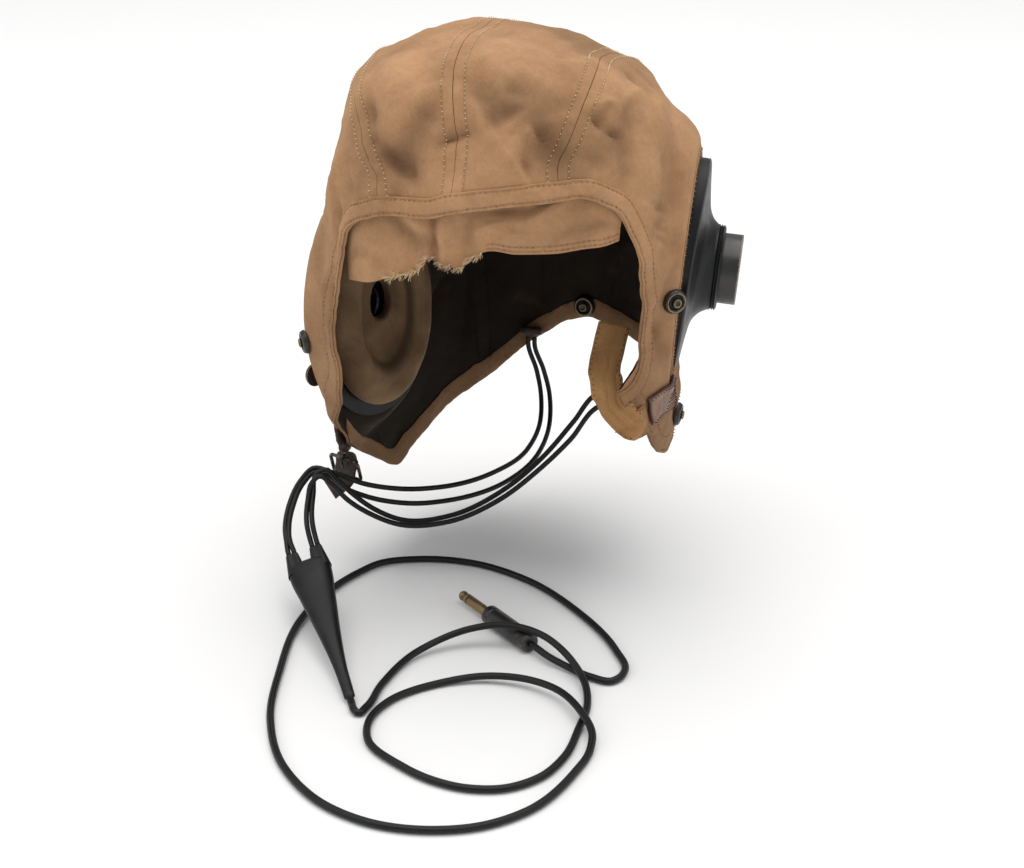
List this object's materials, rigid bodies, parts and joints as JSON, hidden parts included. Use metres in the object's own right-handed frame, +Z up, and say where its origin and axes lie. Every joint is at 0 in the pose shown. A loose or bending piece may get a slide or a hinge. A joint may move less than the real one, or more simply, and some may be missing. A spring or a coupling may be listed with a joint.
{
  "type": "flying helmet",
  "caption": "Tan cotton flying helmet with rubber ear cups, telephone receivers, chin strap, buckle strap, forked lead and plug.",
  "frame": {"origin": "the inside of the crown, where the helmet rests on a head", "axes": "+Z up, -Y out of the face opening, +X to the wearer's left"},
  "size_m": [0.2584, 0.4044, 0.3334],
  "materials": {
    "tan_cotton": "matt drill weave, sun-faded",
    "lining_cotton": "matt plain weave",
    "black_rubber": "satin, slightly bloomed",
    "black_plastic": "half gloss",
    "chamois": "matt suede nap",
    "brown_leather": "worn, half matt",
    "dark_steel": "blackened, rubbed at the edges",
    "dull_brass": "dull, darkened",
    "copper_wire": "varnished wire"
  },
  "bodies": {
    "helmet": {"buckle_strap": "brown_leather", "chin_strap_end": "tan_cotton", "chin_tab": "brown_leather", "crown_panel_left": "tan_cotton", "crown_panel_right": "tan_cotton", "ear_cup_left": "black_rubber", "ear_cup_right": "black_rubber", "ear_pad_left": "chamois", "ear_pad_right": "chamois", "face_binding": "tan_cotton", "fork_mould": "black_rubber", "keeper_left": "brown_leather", "keeper_nape": "brown_leather", "lead_left_inner": "black_rubber", "lead_left_outer": "black_rubber", "lead_right_inner": "black_rubber", "lead_right_outer": "black_rubber", "main_cord": "black_rubber", "neck_facing": "lining_cotton", "plug_body": "black_plastic", "plug_ring": "black_plastic", "plug_sleeve": "dull_brass", "plug_tip": "dull_brass", "seam_tape_centre": "lining_cotton", "seam_tape_left": "lining_cotton", "seam_tape_right": "lining_cotton", "side_panel_left": "tan_cotton", "side_panel_right": "tan_cotton", "stud_left_lower": "dull_brass", "stud_left_upper": "dull_brass", "stud_nape": "dull_brass", "stud_right_lower": "dull_brass", "stud_right_upper": "dull_brass", "sweatband": "tan_cotton"},
    "receiver_left": {"receiver_case_left": "black_plastic", "receiver_cap_left": "black_plastic", "diaphragm_left": "dark_steel", "magnet_left": "dark_steel", "coils_left": "copper_wire"},
    "receiver_right": {"receiver_case_right": "black_plastic", "receiver_cap_right": "black_plastic", "diaphragm_right": "dark_steel", "magnet_right": "dark_steel", "coils_right": "copper_wire"},
    "chin": {"chin_strap": "tan_cotton", "chin_lining": "chamois"},
    "buckle": {"buckle_frame": "dark_steel"},
    "tongue": {"buckle_tongue": "dark_steel"}
  },
  "joints": [
    {"name": "receiver_left_pull", "type": "slide", "parent": "helmet", "child": "receiver_left", "axis": [0.9915, 0.1042, -0.0785], "range_m": [0, 0.012]},
    {"name": "receiver_right_pull", "type": "slide", "parent": "helmet", "child": "receiver_right", "axis": [-0.8817, 0.4688, -0.0523], "range_m": [0, 0.012]},
    {"name": "chin_strap_swing", "type": "hinge", "parent": "helmet", "child": "chin", "pos_m": [0.07899, -0.05904, -0.2015], "axis": [-0.7695, -0.2671, -0.5801], "range_deg": [0, 45]},
    {"name": "buckle_swing", "type": "hinge", "parent": "helmet", "child": "buckle", "pos_m": [-0.0952, -0.02685, -0.26919], "axis": [0.9118, -0.4107, -0.007], "range_deg": [0, 35]},
    {"name": "tongue_swing", "type": "hinge", "parent": "buckle", "child": "tongue", "pos_m": [-0.0958, -0.02829, -0.26288], "axis": [-0.9118, 0.4107, 0.007], "range_deg": [0, 35]}
  ]
}
